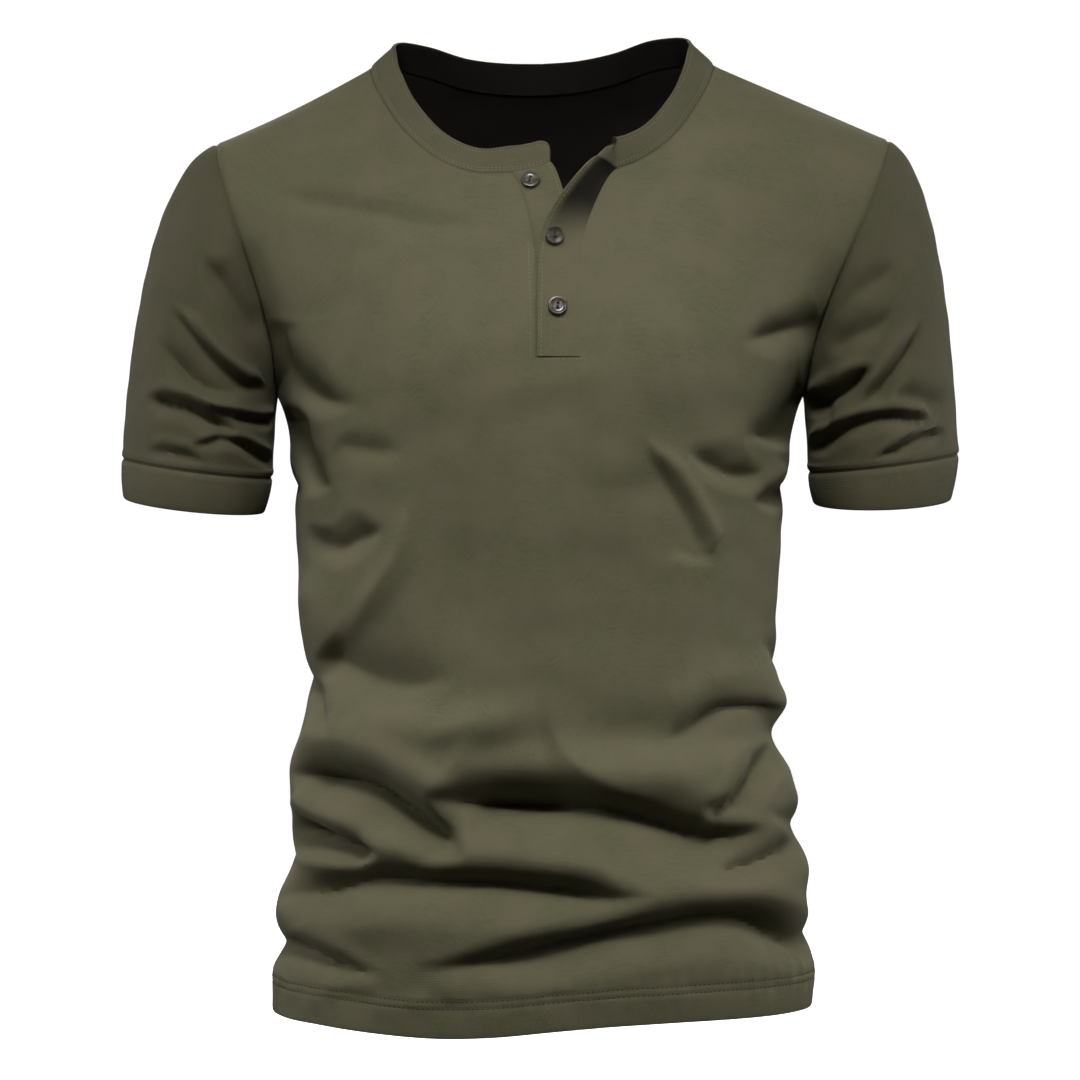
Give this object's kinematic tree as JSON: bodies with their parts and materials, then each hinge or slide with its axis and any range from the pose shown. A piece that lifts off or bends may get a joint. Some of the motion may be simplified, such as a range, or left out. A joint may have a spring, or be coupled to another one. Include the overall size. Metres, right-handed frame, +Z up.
{
  "type": "t-shirt",
  "caption": "Short-sleeved henley T-shirt in worn form, hollow, with a collarless neckband, an open buttoned placket and sewn-on sleeve cuffs.",
  "frame": {"origin": "middle of the neck opening, level with the inner ends of the shoulder seams, where the wearer's neck and shoulders hold the shirt", "axes": "+Z up, +X towards the wearer's left, -Y towards the front"},
  "size_m": [0.5687, 0.2389, 0.6706],
  "materials": {
    "jersey": "matt cotton jersey, olive",
    "button": "polished, dark olive brown"
  },
  "bodies": {
    "root": {"front": "jersey", "back": "jersey", "sleeve_right": "jersey", "sleeve_left": "jersey", "cuff_right": "jersey", "cuff_left": "jersey", "neckband": "jersey", "placket_under": "jersey", "placket_over": "jersey", "button_top": "button", "button_middle": "button", "button_bottom": "button"}
  },
  "joints": []
}
